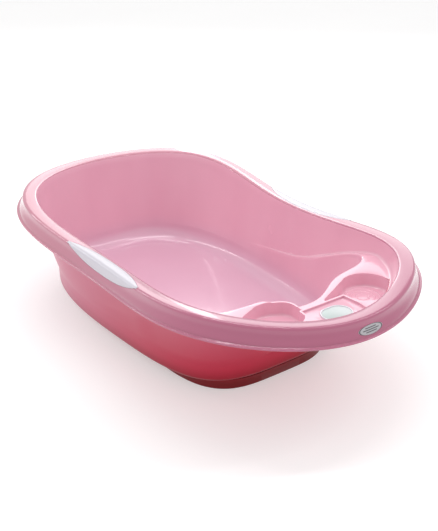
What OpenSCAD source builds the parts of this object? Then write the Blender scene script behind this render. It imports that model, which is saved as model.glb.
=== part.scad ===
// Baby bathtub: one moulded shell with a rolled rim, a foot deck with two soap
// recesses, two rim grips, a deck badge, a rim label and a lift-out drain plug.
// X runs from the head end (-) to the foot end (+), Y across, Z up from the
// surface the tub stands on. The origin is under the middle of the tub.

/* [Rim plan] */
// Overall length over the rim lip
rim_length = 840; // [700:10:1000]
// Overall width over the rim lip, towards the head end
rim_width = 492; // [470:2:600]
// How much narrower the rim is at the middle of its length
waist_narrower = 22; // [0:2:60]
// How much narrower the rim is towards the foot end
foot_narrower = 16; // [0:2:40]
// How far the four corners are filled out beyond a plain oval
corner_fullness = 6.4; // [0:0.2:10]

/* [Rim height] */
// Height of the lip's underside at the head end
lip_z_head = 184; // [150:1:220]
// Height of the lip's underside at the head corners
lip_z_head_corner = 182; // [150:1:220]
// Height of the lip's underside at the waist
lip_z_waist = 160; // [130:1:200]
// Height of the lip's underside at the foot corners
lip_z_foot_corner = 176; // [166:1:200]
// Height of the lip's underside at the foot end
lip_z_foot = 164; // [150:1:180]

/* [Rim section] */
// Width of the rim from the lip's edge to its inner edge
rim_w = 39; // [34:1:50]
// Height of the rim's crest above the lip's underside
rim_h = 29.5; // [24:0.5:40]
// How far the lip bead stands out from the skirt
lip_w = 4.5; // [3:0.5:8]
// Thickness of the lip bead
lip_t = 3; // [2:0.5:5]
// Drop from the crest to the rim's inner edge
inner_drop = 4; // [3:0.5:8]
// Wall thickness of the moulding
wall = 3; // [2.5:0.5:4]

/* [Basin] */
// Height of the inside floor above the ground
floor_z = 23; // [18:1:30]
// Distance along the floor from its head-end wall to under the rim's head end
floor_head_gap = 60; // [56:2:120]
// Distance along the floor from its foot-end wall to under the rim's foot end
floor_foot_gap = 194; // [186:2:220]
// Inset of each side of the floor from the rim lip, towards the head end
floor_head_inset = 54; // [48:2:80]
// Inset of each side of the floor from the rim lip, towards the foot end
floor_foot_inset = 78.5; // [70:0.5:100]
// Radius between the inside walls and the floor
floor_r = 34; // [20:1:42]

/* [Foot deck] */
// Drop from the rim's inner edge to the deck at the foot end
deck_drop = 16.5; // [10:0.5:24]
// Length of the deck from the rim's foot end to its front edge
deck_l = 172; // [164:2:184]
// Depth of the notch in the middle of the deck's front edge
notch_depth = 48; // [30:2:58]
// Distance of the notch's bottom from the centre line, towards the left
notch_y = 14; // [0:1:20]
// Width of the notch's gentle right flank
notch_right_w = 66; // [50:2:80]
// Width of the notch's steep left flank
notch_left_w = 40; // [32:2:50]
// Drop from the deck to the platform between the recesses
platform_drop = 3.5; // [2:0.5:5]

/* [Soap recesses] */
// Distance of the recesses' centres from the rim's foot end
recess_back = 112; // [106:1:116]
// Distance of each recess's centre from the centre line
recess_y = 98; // [94:1:100]
// Radius of the round end of a recess
recess_r = 42; // [34:1:44]
// Depth of a recess
recess_depth = 22; // [16:1:28]
// Radius of the largest drainage ring in a recess
ring_r = 28; // [20:1:30]
// Height of the drainage rings
ring_h = 0.8; // [0.5:0.1:1.5]

/* [Base] */
// Inset of the base ring from the floor's sides at the foot end
base_side_inset = 17.5; // [12:0.5:40]
// Inset of the base ring from the floor's foot end
base_foot_inset = 4; // [0:1:20]
// Inset of the base ring from the floor's head end
base_head_inset = 50; // [30:2:100]

/* [Grips] */
// Distance of the grips' centre from the middle of the tub, towards the foot
grip_x = 28; // [10:2:40]
// Length of a grip
grip_l = 220; // [160:5:270]
// How far a grip reaches in from its ends' line, towards the basin
grip_in = 17; // [10:1:18]
// How far a grip reaches out from its ends' line, over the shoulder of the rim
grip_out = 6.5; // [4:0.5:7]
// Depth of the pocket that a grip sits in
grip_t = 1.6; // [1.2:0.1:2]
// Gap between a grip's edge and its pocket
grip_gap = 0.4; // [0.3:0.1:0.6]
// Gap under a grip, where the glue line is
glue_gap = 0.25; // [0.2:0.05:0.4]

/* [Badge and label] */
// Distance of the badge's centre from the rim's foot end
badge_back = 78; // [74:1:82]
// Half-width of the badge across the tub
badge_half_w = 27; // [24:0.5:33]
// Half-length of the badge along the tub
badge_half_l = 21; // [16:0.5:22]
// Width of the raised bead round the badge
bead_w = 3; // [2:0.5:5]
// Width of the rim label
label_w = 50; // [30:2:56]
// Height of the rim label
label_h = 14; // [10:1:16]

/* [Drain] */
// Distance of the drain's centre from the floor's foot end
drain_back = 61; // [56:1:90]
// Radius of the hole through the floor
drain_r = 14; // [10:0.5:18]
// Gap between the plug and the hole
drain_gap = 0.3; // [0.3:0.05:0.5]
// How far the plug's flange laps over the floor round the hole
flange_lap = 7; // [5:0.5:10]
// Thickness of the sealing washer under the flange
seal_t = 1.6; // [1:0.2:2.4]

/* [Hidden] */

around = 76;                    // points round each ring of the shell
step_a = 360 / around;

// Places measured from the rim and the floor
half_l = rim_length / 2;
base_h = floor_z - wall;
floor_head_l = half_l - floor_head_gap;
floor_foot_l = half_l - floor_foot_gap;
floor_head_w = rim_width - 2 * floor_head_inset;
floor_foot_w = rim_width - 2 * floor_foot_inset;
base_half_w = floor_foot_w / 2 - base_side_inset;
base_foot_l = floor_foot_l - base_foot_inset;
base_head_l = floor_head_l - base_head_inset;
deck_z = lip_z_foot + rim_h - inner_drop - deck_drop;
deck_front_x = half_l - deck_l;
recess_x = half_l - recess_back;
badge_x = half_l - badge_back;
drain_x = floor_foot_l - drain_back;
flange_r = drain_r + flange_lap;

// Plan of the rim lip as a short harmonic series through the three widths
s60 = sin(60);
h1 = (2 * rim_width - foot_narrower) / 4 / s60 - corner_fullness;
h2 = -foot_narrower / 4 / s60;
h5 = -corner_fullness;
h3 = h1 + h5 - (rim_width - waist_narrower) / 2;
function lip_xy(a) = [half_l * cos(a),
    h1 * sin(a) + h2 * sin(2 * a) + h3 * sin(3 * a) + h5 * sin(5 * a)];
function lip_dir(a) = [-half_l * sin(a),
    h1 * cos(a) + 2 * h2 * cos(2 * a) + 3 * h3 * cos(3 * a) + 5 * h5 * cos(5 * a)];
function outward(a) = let (d = lip_dir(a)) [d[1], -d[0]] / norm(d);

// Height of the lip as a short cosine series through the five heights
ends_z = (lip_z_foot + lip_z_head) / 2;
corners_z = (lip_z_foot_corner + lip_z_head_corner) / 2;
tilt_ends = (lip_z_foot - lip_z_head) / 2;
tilt_corners = (lip_z_foot_corner - lip_z_head_corner) / 2 / cos(45);
z0 = ((ends_z + lip_z_waist) / 2 + corners_z) / 2;
z4 = (ends_z + lip_z_waist) / 2 - z0;
z2 = (ends_z - lip_z_waist) / 2;
z1 = (tilt_ends + tilt_corners) / 2;
z3 = (tilt_ends - tilt_corners) / 2;
function lip_z(a) = z0 + z1 * cos(a) + z2 * cos(2 * a) + z3 * cos(3 * a) + z4 * cos(4 * a);

// Section of the rim: [distance in from the lip's edge, height above its underside]
crest_in = rim_w * 0.45;
skirt_in = lip_w + 8;
skirt_h = rim_h * 0.83;
function quarter(from, to, a) = [from[0] + (to[0] - from[0]) * (1 - cos(a)),
                                 from[1] + (to[1] - from[1]) * sin(a)];
rim_top = concat(
    [[0, 0], [0, lip_t], [lip_w, lip_t + 0.5], [lip_w + 4, skirt_h * 0.6]],
    [for (a = [0 : 22.5 : 90]) quarter([skirt_in, skirt_h], [crest_in, rim_h], a)],
    [for (a = [22.5 : 22.5 : 90]) [crest_in + (rim_w - crest_in) * sin(a),
                                   rim_h - inner_drop * (1 - cos(a))]]);
rim_under = [[rim_w - 1, rim_h - inner_drop - wall - 1], [crest_in, rim_h - wall],
             [skirt_in + wall, skirt_h - 2], [lip_w + wall, 0]];
function rim_pt(a, s) = let (p = lip_xy(a) - s[0] * outward(a)) [p[0], p[1], lip_z(a) + s[1]];

// Helpers
function mix(p, q, k) = p + (q - p) * k;
function ease(k) = let (c = min(1, max(0, k))) c * c * (3 - 2 * c);
function soft_min(p, q, r) = -r * ln(exp(-p / r) + exp(-q / r));
function oval_r(c, s, rx, ry, n) = pow(pow(abs(c) / rx, n) + pow(abs(s) / ry, n), -1 / n);

// Foot of the inside wall, met by a ray from the basin's centre
basin_cx = 0;
floor_square = 3;               // 2 is a plain oval, higher is squarer
foot_squarer = 0.5;
function floor_pt(a, grow) =
    let (e = rim_pt(a, [rim_w, 0]), d = [e[0] - basin_cx, e[1]] / norm([e[0] - basin_cx, e[1]]),
         across = mix(floor_head_w, floor_foot_w, (d[0] + 1) / 2) / 2 + grow,
         along = (d[0] < 0 ? floor_head_l : floor_foot_l) + grow)
    [basin_cx, 0] + d * oval_r(d[0], d[1], along, across, floor_square + foot_squarer * ease(d[0]));

// Outline of the base ring
base_square = 3.8;
function base_pt(a, grow) =
    let (p = floor_pt(a, 0), d = p / norm(p), along = d[0] < 0 ? base_head_l : base_foot_l)
    d * oval_r(d[0], d[1], along + grow, base_half_w + grow, base_square);

// Line along the side walls where the deck's edge runs out, rising to the deck
wall_foot_z = floor_z + floor_r;
ledge_start_x = deck_front_x - 370;
ledge_low_z = wall_foot_z + 14;
ledge_w = 3;
function ledge_z(x) = let (k = min(1, max(0, (x - ledge_start_x) / (deck_front_x - ledge_start_x))))
    ledge_low_z + (deck_z - ledge_low_z) * (0.6 * k + 0.4 * ease((k - 0.4) / 0.6));

// Wall under the rim, as far as the ledge
wall_bulge = 1.5;
function wall_top(a) = rim_pt(a, [rim_w, rim_h - inner_drop]);
function wall_pt(a, z) =
    let (t = wall_top(a), f = floor_pt(a, 0), k = (t[2] - z) / (t[2] - wall_foot_z),
         p = mix([t[0], t[1]], f, pow(max(k, 0), wall_bulge)))
    [p[0], p[1], z];
function ledge_pt(a) = let (x = wall_top(a)[0]) wall_pt(a, ledge_z(x) + 1);

// Top edge of the basin: the wall at the head and sides, the deck's front at the foot
deck_cx = deck_front_x - 190;
edge_drop = 1.4;
function edge_pt(a) =
    let (j = ledge_pt(a), v = [j[0] - deck_cx, j[1]], d = v / norm(v),
         r_wall = norm(v) - ledge_w * ease((j[0] - ledge_start_x) / 150),
         r_deck = oval_r(d[0], d[1], deck_front_x - deck_cx, floor_foot_w / 2 + 16, 6),
         y = r_deck * d[1] + notch_y,
         notch = notch_depth * exp(y > 0 ? -pow(y / notch_right_w, 2) : -pow(y / notch_left_w, 4)),
         z = ledge_z(wall_top(a)[0]) - edge_drop,
         w = wall_pt(a, z),
         r = min(d[0] <= 0 ? r_wall : soft_min(r_wall, r_deck + notch, 4), norm([w[0] - deck_cx, w[1]])))
    [deck_cx + d[0] * r, d[1] * r, z];

// Rings of the inside, from the middle of the floor to the rim's inner edge
edge_r = 5;
function low_pt(a, k) =
    let (b = edge_pt(a), f = floor_pt(a, 0), j = ledge_pt(a), z = mix(b[2] - edge_r, wall_foot_z, k),
         g = (b[2] - z) / (b[2] - wall_foot_z), straight = mix([b[0], b[1]], f, g),
         s = wall_pt(a, z), slip = [b[0] - j[0], b[1] - j[1]] * (1 - g),
         w = ease((norm([j[0] - b[0], j[1] - b[1]]) - 3) / 20), p = mix([s[0], s[1]] + slip, straight, w))
    [p[0], p[1], z];
function fillet_pt(a, t) =
    let (p = floor_pt(a, -floor_r * (1 - cos(t))))
    [p[0], p[1], wall_foot_z - floor_r * sin(t)];
function shelf_pt(a, k) =
    let (j = ledge_pt(a), b = edge_pt(a), w = norm([j[0] - b[0], j[1] - b[1]]),
         q = min(k, 1 - min(0.5, edge_r / max(w, 0.1))))
    mix(j, [b[0], b[1], b[2] + edge_drop], q);
floor_shares = [0.25, 0.6, 0.85];
angles = [for (i = [0 : around - 1]) i * step_a];
inside = concat(
    [for (k = floor_shares) [for (a = angles) let (p = fillet_pt(a, 90)) [p[0] * k, p[1] * k, floor_z]]],
    [for (t = [90, 60, 30, 0]) [for (a = angles) fillet_pt(a, t)]],
    [for (k = [0.8, 0.6, 0.4, 0.2, 0]) [for (a = angles) low_pt(a, k)]],
    [[for (a = angles) edge_pt(a)]],
    [for (k = [1, 0.6, 0.3]) [for (a = angles) shelf_pt(a, k)]],
    [for (k = [0, 0.12, 0.45, 0.8]) [for (a = angles) mix(ledge_pt(a), wall_top(a), k)]]);
rim_rings = [for (i = [len(rim_top) - 1 : -1 : 0]) [for (a = angles) rim_pt(a, rim_top[i])]];
under_rings = [for (i = [len(rim_under) - 1 : -1 : 0]) [for (a = angles) rim_pt(a, rim_under[i])]];

// The outside wall is the inside wall moved out by the wall thickness
function skin_n(rows, j, i) =
    let (l = (i + around - 1) % around, r = (i + 1) % around,
         n = cross(rows[j][r] - rows[j][l], rows[j + 1][i] - rows[j - 1][i])) n / norm(n);
outer_rows = [17, 16, 15, 14, 13, 12, 11, 10, 9, 8, 7];
outside = [for (j = outer_rows) [for (i = [0 : around - 1]) inside[j][i] + wall * skin_n(inside, j, i)]];
outer_r = 10;
ring_wall = 4;
ring_draft = 1.5;
bottom = concat(
    [for (t = [0, 45, 90]) [for (a = angles) let (p = floor_pt(a, wall - outer_r * (1 - cos(t))))
        [p[0], p[1], base_h + outer_r - outer_r * sin(t)]]],
    [for (s = [[0, base_h], [-ring_draft, 0], [-ring_draft - ring_wall, 0], [-ring_wall, base_h]])
        [for (a = angles) let (p = base_pt(a, s[0])) [p[0], p[1], s[1]]]],
    [[for (a = angles) let (p = base_pt(a, 0) / 2) [p[0], p[1], base_h]]]);

shell_rings = concat(inside, rim_rings, under_rings, outside, bottom);

// Closed skin through a stack of rings that have the same number of points
function centre(r) = [for (c = [0 : 2]) let (v = [for (p = r) p[c]]) v * [for (p = r) 1] / len(r)];
module lofted(rings) {
    n = len(rings[0]);
    m = len(rings);
    points = concat([centre(rings[0])], [for (r = rings) each r], [centre(rings[m - 1])]);
    polyhedron(points, concat(
        [for (i = [0 : n - 1]) [0, 1 + (i + 1) % n, 1 + i]],
        [for (j = [0 : m - 2], i = [0 : n - 1], half = [0, 1])
            let (p = 1 + j * n + i, q = 1 + j * n + (i + 1) % n)
            half == 0 ? [p, q, q + n] : [p, q + n, p + n]],
        [for (i = [0 : n - 1]) [1 + m * n, 1 + (m - 1) * n + i, 1 + (m - 1) * n + (i + 1) % n]]));
}

// Outside face of the rim section: distance in and height, moved off the face by off
function rim_face_h(i) =
    i >= crest_in ? let (k = min(1, (i - crest_in) / (rim_w - crest_in)))
        rim_h - inner_drop * (1 - sqrt(1 - k * k))
    : i >= skirt_in ? let (k = (crest_in - i) / (crest_in - skirt_in))
        skirt_h + (rim_h - skirt_h) * sqrt(1 - k * k)
    : skirt_h - (skirt_in - i) * skirt_h * 0.4 / (skirt_in - lip_w - 4);
function rim_face(i, off) =
    let (d = [1, rim_face_h(i + 0.5) - rim_face_h(i - 0.5)])
    [i, rim_face_h(i)] + off * [-d[1], d[0]] / norm(d);

// Body of a grip, or of its pocket when grown: a lens that wraps over the rim
grip_line = 16;                 // how far in from the lip the grip's two ends lie
grip_rows = 22;
grip_proud = 0.4;               // how far a grip stands out of the rim
grip_clear = 4;                 // how far above the rim a pocket's cutter reaches
function lens(k) = max(0.12, pow(1 - pow(abs(k), 2.5), 0.8));
function grip_ring(side, k, grow, low, high) =
    let (a = acos((grip_x + k * (grip_l / 2 + grow)) / half_l), w = lens(k),
         from = grip_line - grip_out * w - grow, to = grip_line + grip_in * w + grow)
    concat([for (u = [0 : 0.2 : 1]) rim_pt(side * a, rim_face(from + (to - from) * u, high))],
           [for (u = [1 : -0.2 : 0]) rim_pt(side * a, rim_face(from + (to - from) * u, low))]);
module grip_body(side, grow, low, high) {
    rows = [for (i = [0 : grip_rows]) grip_ring(side, -cos(180 * i / grip_rows), grow, low, high)];
    lofted(side < 0 ? rows : [for (i = [grip_rows : -1 : 0]) rows[i]]);
}

// Body of the rim label, or of its pocket when grown: an oval on the skirt
label_mid_h = 11.5;
label_rows = 12;
label_seat = 0.45;              // depth of its seat in the skirt
label_back = 0.4;
label_proud = 0.2;
function skirt_pt(a, h, off) =
    let (i = lip_w + (h - lip_t) * 4 / (skirt_h * 0.6 - lip_t))
    rim_pt(a, [i - off, h]);
function label_ring(k, grow, low, high) =
    let (a = k * (label_w / 2 + grow) / norm(lip_dir(0)) * 180 / PI,
         w = max(0.15, sqrt(1 - k * k)) * (label_h / 2 + grow))
    concat([for (u = [-1 : 0.5 : 1]) skirt_pt(a, label_mid_h + w * u, high)],
           [for (u = [1 : -0.5 : -1]) skirt_pt(a, label_mid_h + w * u, low)]);
module label_body(grow, low, high) {
    lofted([for (i = [0 : label_rows]) label_ring(-cos(180 * i / label_rows), grow, low, high)]);
}

// Plan of the platform that carries the badge, between the recesses
platform_x = badge_x - badge_half_l - 9;    // the step down from the deck's front strip
platform_back_x = badge_x + badge_half_l + 1;
platform_z = deck_z - platform_drop;
platform_half_w = badge_half_w + 15;
module platform_plan() {
    widest = platform_half_w + 3;
    back = platform_half_w;
    polygon([[platform_x, -platform_half_w], [platform_x, platform_half_w], [badge_x, widest],
             [platform_back_x, back], [platform_back_x, -back], [badge_x, -widest]]);
}

// Circles that each recess wraps round: [x, y, radius]; the left one has a long tail
recess_left = [[recess_x, recess_y, recess_r], [platform_x - 5, 13, 5],
               [recess_x + 22, recess_y - 18, recess_r - 20]];
recess_right = [[recess_x - 9, 18 - recess_y, recess_r - 1], [recess_x - 2, -7 - recess_y, recess_r - 4],
                [recess_x - 20, 38 - recess_y, recess_r - 20]];
recess_z = deck_z - recess_depth;
platform_gap = 4;               // land left between a recess and the platform
wall_gap = 3;                   // land left between a recess and the wall, so that no pocket cuts the wall
module wall_plan() {
    polygon([for (a = angles) let (p = wall_pt(a, deck_z)) [p[0], p[1]]]);
}
module recess_plan(circles, grow) {
    difference() {
        intersection() {
            hull() for (c = circles) translate([c[0], c[1]]) circle(c[2] + grow, $fn = 40);
            offset(delta = grow - wall_gap) wall_plan();
        }
        offset(delta = platform_gap - grow) platform_plan();
    }
}
module bosses() {
    for (circles = [recess_left, recess_right])
        translate([0, 0, recess_z - wall]) linear_extrude(recess_depth + wall - 1) recess_plan(circles, wall);
    translate([0, 0, platform_z - badge_sink - wall]) linear_extrude(platform_drop + badge_sink + wall - 1)
        offset(delta = wall) platform_plan();
}
module recess_pockets() {
    for (circles = [recess_left, recess_right])
        translate([0, 0, recess_z]) linear_extrude(recess_depth + 10) recess_plan(circles, 0);
}
module drain_rings() {
    for (side = [-1, 1]) translate([recess_x - 5, side * (recess_y - 4), recess_z - 0.2])
        for (r = [ring_r : -9 : 8]) rotate_extrude($fn = 36) translate([r, 0]) square([2, ring_h + 0.2]);
}

// Badge let into the platform
badge_sink = 1.2;
badge_t = 2.8;
film_t = 0.5;
fit_gap = 0.3;
module badge_plan(grow) {
    span = badge_half_w - badge_half_l;
    hull() for (y = [-span, span]) translate([badge_x, y]) circle(badge_half_l + grow, $fn = 48);
}

module tub_shell() {
    color("pink") difference() {
        union() {
            lofted(shell_rings);
            bosses();
        }
        difference() {
            recess_pockets();
            drain_rings();
        }
        translate([0, 0, platform_z]) linear_extrude(20) platform_plan();
        translate([0, 0, platform_z - badge_sink]) linear_extrude(20) badge_plan(fit_gap);
        for (side = [-1, 1]) grip_body(side, grip_gap, -grip_t, grip_clear);
        label_body(fit_gap, -label_seat, 3);
        translate([drain_x, 0, base_h - 1]) cylinder(h = floor_z - base_h + 2, r = drain_r);
    }
}
module left_grip() { color("white") grip_body(1, 0, glue_gap - grip_t, grip_proud); }
module right_grip() { color("white") grip_body(-1, 0, glue_gap - grip_t, grip_proud); }
module deck_badge() {
    color("white") translate([0, 0, platform_z - badge_sink]) difference() {
        linear_extrude(badge_t) badge_plan(0);
        translate([0, 0, badge_sink]) linear_extrude(badge_t) badge_plan(-bead_w);
    }
}
module badge_film() {
    color("lightgray") translate([0, 0, platform_z]) linear_extrude(film_t) badge_plan(-bead_w - fit_gap);
}
module rim_label() { color("silver") label_body(0, -label_back, label_proud); }

// Plug: a flange with a shank through the floor and a finger tab, lifted straight out
plug_gap = 0.3;                 // play between the washer and the floor
flange_t = 3;
flange_z = floor_z + plug_gap + seal_t;
shank_r = drain_r - drain_gap;
tab_w = 16;
tab_h = 14;
module drain_plug() {
    color("white") translate([drain_x, 0, 0]) {
        translate([0, 0, base_h - 4]) cylinder(h = flange_z - base_h + 4, r = shank_r, $fn = 48);
        translate([0, 0, flange_z]) cylinder(h = flange_t, r = flange_r, $fn = 48);
        translate([0, 2, flange_z + flange_t]) rotate([90, 0, 0]) difference() {
            union() {
                translate([-tab_w / 2, -0.5]) cube([tab_w, tab_h - tab_w / 2 + 0.5, 4]);
                translate([0, tab_h - tab_w / 2]) cylinder(h = 4, r = tab_w / 2, $fn = 40);
            }
            translate([0, tab_h - tab_w / 2, -1]) cylinder(h = 6, r = tab_w / 2 - 3.5, $fn = 32);
        }
    }
}
module plug_seal() {
    color("dimgray") translate([drain_x, 0, floor_z + plug_gap]) difference() {
        cylinder(h = seal_t, r = flange_r - 1.5, $fn = 48);
        translate([0, 0, -1]) cylinder(h = seal_t + 2, r = shank_r, $fn = 48);
    }
}
tub_shell();
left_grip();
right_grip();
deck_badge();
badge_film();
rim_label();
drain_plug();
plug_seal();
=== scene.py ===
# %% [markdown]
# # A moulded baby bathtub
#
# The tub is one thin skin of glossy pink plastic. It was drawn round a handful of curves: the plan of
# the rim, the rise and fall of the rim, the foot of the wall and the front edge of the foot deck. Two
# white grips are let into the rim, a white badge into the deck, and a label is stuck on the skirt.
# A lift-out plug sits in the floor.
#
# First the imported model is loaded. It is the frame that every finer piece is fitted to.

# %% Load the frame
import math

import bpy
import numpy as np
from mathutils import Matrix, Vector


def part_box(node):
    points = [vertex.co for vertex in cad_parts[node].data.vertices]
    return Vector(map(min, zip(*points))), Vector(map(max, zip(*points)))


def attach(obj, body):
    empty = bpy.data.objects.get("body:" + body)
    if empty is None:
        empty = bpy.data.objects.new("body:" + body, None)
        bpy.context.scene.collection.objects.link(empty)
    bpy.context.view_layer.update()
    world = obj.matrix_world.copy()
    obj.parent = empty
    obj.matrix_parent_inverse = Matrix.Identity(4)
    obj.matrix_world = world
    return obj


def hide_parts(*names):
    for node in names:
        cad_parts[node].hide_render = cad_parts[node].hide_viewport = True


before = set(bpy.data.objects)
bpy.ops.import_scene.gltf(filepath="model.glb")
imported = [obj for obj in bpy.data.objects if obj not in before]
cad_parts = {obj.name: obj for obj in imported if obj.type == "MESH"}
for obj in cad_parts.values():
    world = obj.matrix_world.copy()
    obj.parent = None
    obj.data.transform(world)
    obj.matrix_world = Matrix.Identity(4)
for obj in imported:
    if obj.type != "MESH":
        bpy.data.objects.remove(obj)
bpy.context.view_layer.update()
mm = 0.001
print("nodes:", sorted(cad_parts))

# %% [markdown]
# Lengths below are in millimetres, and one helper turns them into metres as it lays points out.
# Whatever a neighbour has to fit is read from the frame: the overall length, the floor and deck
# heights and the places of the badge and the drain. The rest are the same few sizes that the tub's
# drawing has.

# %% Sizes


def frame_box(node):
    low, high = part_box(node)
    return np.array(low) / mm, np.array(high) / mm


shell_low, shell_high = frame_box("tub_shell")
half_l = (shell_high[0] - shell_low[0]) / 2
film_low, film_high = frame_box("badge_film")
badge_low, badge_high = frame_box("deck_badge")
plug_low, plug_high = frame_box("drain_plug")
seal_low, seal_high = frame_box("plug_seal")

wall = 3
rim_width, waist_narrower, foot_narrower, corner_fullness = 492, 22, 16, 6.4
lip_heights = {"head": 184, "head_corner": 182, "waist": 160, "foot_corner": 176, "foot": 164}
rim_w, rim_h, inner_drop, lip_w, lip_t = 39, 29.5, 4, 4.5, 3
plug_gap = 0.3
floor_z = seal_low[2] - plug_gap
base_h = floor_z - wall
floor_r, outer_r = 34, 10
floor_head_l, floor_foot_l = half_l - 60, half_l - 194
floor_head_w, floor_foot_w = rim_width - 2 * 54, rim_width - 2 * 78.5
platform_drop = 3.5
platform_z = film_low[2]
deck_z = platform_z + platform_drop
deck_front_x = half_l - 172
notch_depth, notch_y, notch_right_w, notch_left_w = 48, 14, 66, 40
badge_x = (badge_low[0] + badge_high[0]) / 2
badge_half_l = (badge_high[0] - badge_low[0]) / 2
badge_half_w = badge_high[1]
drain_x = (seal_low[0] + seal_high[0]) / 2
print(f"length {2 * half_l:.0f}, floor at {floor_z:.1f}, deck at {deck_z:.1f} mm")

# %% [markdown]
# ## Curves of the tub
#
# The plan of the rim is an oval with a waist, so it is a short sum of sines: one wave for the oval,
# one that makes the head end wider than the foot, one for the waist and one that fills the corners.
# The rim also dips at the waist, and a few cosines carry it through five heights. Every other curve
# is met by going round the same angle, so that the skin can be laid ring by ring.

# %% Rim curves
around = 360
turn = np.linspace(0, 2 * math.pi, around, endpoint=False)


def unit(v):
    return v / np.linalg.norm(v, axis=-1, keepdims=True)


def mix(p, q, k):
    return p + (q - p) * k


def ease(k):
    c = np.clip(k, 0, 1)
    return c * c * (3 - 2 * c)


side = math.sin(math.radians(60))
fill = corner_fullness
wave1 = (2 * rim_width - foot_narrower) / 4 / side - fill
wave2 = -foot_narrower / 4 / side
wave3 = wave1 - fill - (rim_width - waist_narrower) / 2


def lip_xy(a):
    across = wave1 * np.sin(a) + wave2 * np.sin(2 * a) + wave3 * np.sin(3 * a) - fill * np.sin(5 * a)
    return np.stack([half_l * np.cos(a), across], -1)


def outward(a):
    along = (wave1 * np.cos(a) + 2 * wave2 * np.cos(2 * a)
             + 3 * wave3 * np.cos(3 * a) - 5 * fill * np.cos(5 * a))
    return unit(np.stack([along, half_l * np.sin(a)], -1))


ends = (lip_heights["foot"] + lip_heights["head"]) / 2
corners = (lip_heights["foot_corner"] + lip_heights["head_corner"]) / 2
tilt_ends = (lip_heights["foot"] - lip_heights["head"]) / 2
tilt_corners = (lip_heights["foot_corner"] - lip_heights["head_corner"]) / 2 / math.cos(math.pi / 4)
mean = ((ends + lip_heights["waist"]) / 2 + corners) / 2


def lip_z(a):
    return (mean + (tilt_ends + tilt_corners) / 2 * np.cos(a)
            + (ends - lip_heights["waist"]) / 2 * np.cos(2 * a)
            + (tilt_ends - tilt_corners) / 2 * np.cos(3 * a)
            + ((ends + lip_heights["waist"]) / 2 - mean) * np.cos(4 * a))


def rim_pt(a, inward, height):
    xy = lip_xy(a) - np.asarray(inward)[..., None] * outward(a)
    return np.concatenate([xy, (lip_z(a) + height)[..., None]], -1)


print("widest", round(2 * lip_xy(turn)[:, 1].max()), "mm, rim from", round(lip_z(turn).min() + rim_h),
      "to", round(lip_z(turn).max() + rim_h), "mm high")

# %% [markdown]
# The wall leans in from the rim to a squarish oval at floor level. Along each side runs a faint
# ledge that climbs towards the foot and there opens out into the deck. The deck's front edge is a
# wide arch with an off-centre notch, gentle on one flank and steep on the other.

# %% Wall and deck curves
wall_foot_z = floor_z + floor_r
wall_bulge = 1.5
ledge_start_x = deck_front_x - 370
ledge_low_z = wall_foot_z + 14
ledge_w = 3
deck_cx = deck_front_x - 190
edge_r = 5


def oval_r(d, along, across, squareness):
    share = np.abs(d[..., 0] / along) ** squareness + np.abs(d[..., 1] / across) ** squareness
    return share ** (-1 / squareness)


def floor_pt(a, grow):
    d = unit(rim_pt(a, rim_w, 0)[..., :2])
    across = mix(floor_head_w, floor_foot_w, (d[..., 0] + 1) / 2) / 2 + grow
    along = np.where(d[..., 0] < 0, floor_head_l, floor_foot_l) + grow
    return d * oval_r(d, along, across, 3 + 0.5 * ease(d[..., 0]))[..., None]


def base_pt(a, grow):
    d = unit(floor_pt(a, 0))
    along = np.where(d[..., 0] < 0, floor_head_l - 50, floor_foot_l - 4) + grow
    return d * oval_r(d, along, floor_foot_w / 2 - 17.5 + grow, 3.8)[..., None]


def with_z(xy, z):
    return np.concatenate([xy, np.broadcast_to(z, xy.shape[:-1])[..., None]], -1)


wall_top = rim_pt(turn, rim_w, rim_h - inner_drop)


def ledge_z(x):
    k = np.clip((x - ledge_start_x) / (deck_front_x - ledge_start_x), 0, 1)
    return ledge_low_z + (deck_z - ledge_low_z) * (0.6 * k + 0.4 * ease((k - 0.4) / 0.6))


def wall_pt(z):
    k = np.clip((wall_top[:, 2] - z) / (wall_top[:, 2] - wall_foot_z), 0, 1)
    xy = mix(wall_top[:, :2], floor_pt(turn, 0), (k ** wall_bulge)[:, None])
    return with_z(xy, z)


shelf_z = ledge_z(wall_top[:, 0])
shelf_back = wall_pt(shelf_z)


def deck_edge():
    spoke = shelf_back[:, :2] - [deck_cx, 0]
    d = unit(spoke)
    reach = np.linalg.norm(spoke, axis=1)
    to_wall = reach - ledge_w * ease((shelf_back[:, 0] - ledge_start_x) / 150)
    to_deck = oval_r(d, deck_front_x - deck_cx, floor_foot_w / 2 + 16, 6)
    y = to_deck * d[:, 1] + notch_y
    notch = notch_depth * np.where(y > 0, np.exp(-(y / notch_right_w) ** 2), np.exp(-(y / notch_left_w) ** 4))
    blend = 9  # how widely the deck's edge rounds into the ledge
    soft = -blend * np.log(np.exp(-to_wall / blend) + np.exp(-(to_deck + notch) / blend))
    r = np.minimum(mix(to_wall, soft, ease(d[:, 0] / 0.3)), reach)
    return with_z([deck_cx, 0] + d * r[:, None], shelf_z)


edge = deck_edge()
shelf_w = np.linalg.norm((edge - shelf_back)[:, :2], axis=1)
print(f"deck reaches in to x = {edge[:, 0][np.abs(edge[:, 1]) < 8].max():.0f} mm at its notch")

# %% [markdown]
# ## Laying a sheet on rings
#
# Nearly every piece here is a stack of rings. By hand one would add a grid and push its rows into
# place, so that is what this helper does: it adds a grid, lays each row on one ring, merges the seam
# where the row meets itself, and fills the two end holes. Boolean modifiers then cut the pockets.

# %% Helpers for pieces


def only(piece):
    bpy.ops.object.select_all(action="DESELECT")
    piece.select_set(True)
    bpy.context.view_layer.objects.active = piece


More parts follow.
